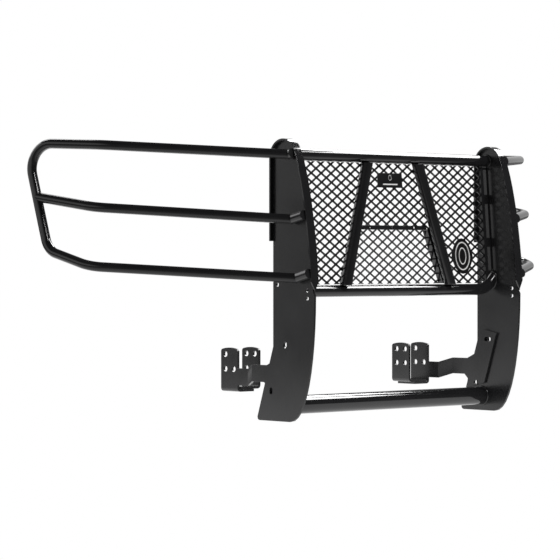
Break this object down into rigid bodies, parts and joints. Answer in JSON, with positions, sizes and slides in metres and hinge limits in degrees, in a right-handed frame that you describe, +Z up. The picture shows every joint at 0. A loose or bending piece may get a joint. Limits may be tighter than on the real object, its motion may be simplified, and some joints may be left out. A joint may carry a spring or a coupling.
{
  "type": "front grille guard",
  "caption": "Truck front grille guard with profiled uprights, cross tubes, a diamond-mesh grille, wrap-around brush guards and frame-mounting saddles.",
  "frame": {"origin": "middle of the span between the two frame saddles, level with the centre of their bolt holes", "axes": "+X to the viewer's right when facing the guard, +Y towards the truck, +Z up"},
  "size_m": [2.1012, 0.7412, 0.9002],
  "materials": {
    "black_powder_coat": "semi-gloss black powder coat",
    "grey_mesh_coat": "dark grey coated diamond mesh",
    "badge_coat": "black plate with pale raised trim"
  },
  "bodies": {
    "root": {"badge_plate": "badge_coat", "bottom_tube": "black_powder_coat", "brush_guard_bar_left": "black_powder_coat", "brush_guard_bar_right": "black_powder_coat", "brush_guard_loop_left": "black_powder_coat", "brush_guard_loop_right": "black_powder_coat", "grille_mesh": "black_powder_coat", "hanger_plate_left": "black_powder_coat", "hanger_plate_right": "black_powder_coat", "mesh_edge_strip_left": "black_powder_coat", "mesh_edge_strip_right": "black_powder_coat", "middle_tube": "black_powder_coat", "plaque": "badge_coat", "saddle_clamp_left": "black_powder_coat", "saddle_clamp_right": "black_powder_coat", "slanted_tube_left": "black_powder_coat", "slanted_tube_right": "black_powder_coat", "top_tube": "black_powder_coat", "tray_flange": "black_powder_coat", "tray_mesh": "grey_mesh_coat", "tray_side_left": "black_powder_coat", "tray_side_right": "black_powder_coat", "tray_top_wall": "black_powder_coat", "upright_plate_left": "black_powder_coat", "upright_plate_right": "black_powder_coat", "upright_rim_left": "black_powder_coat", "upright_rim_right": "black_powder_coat"}
  },
  "joints": []
}
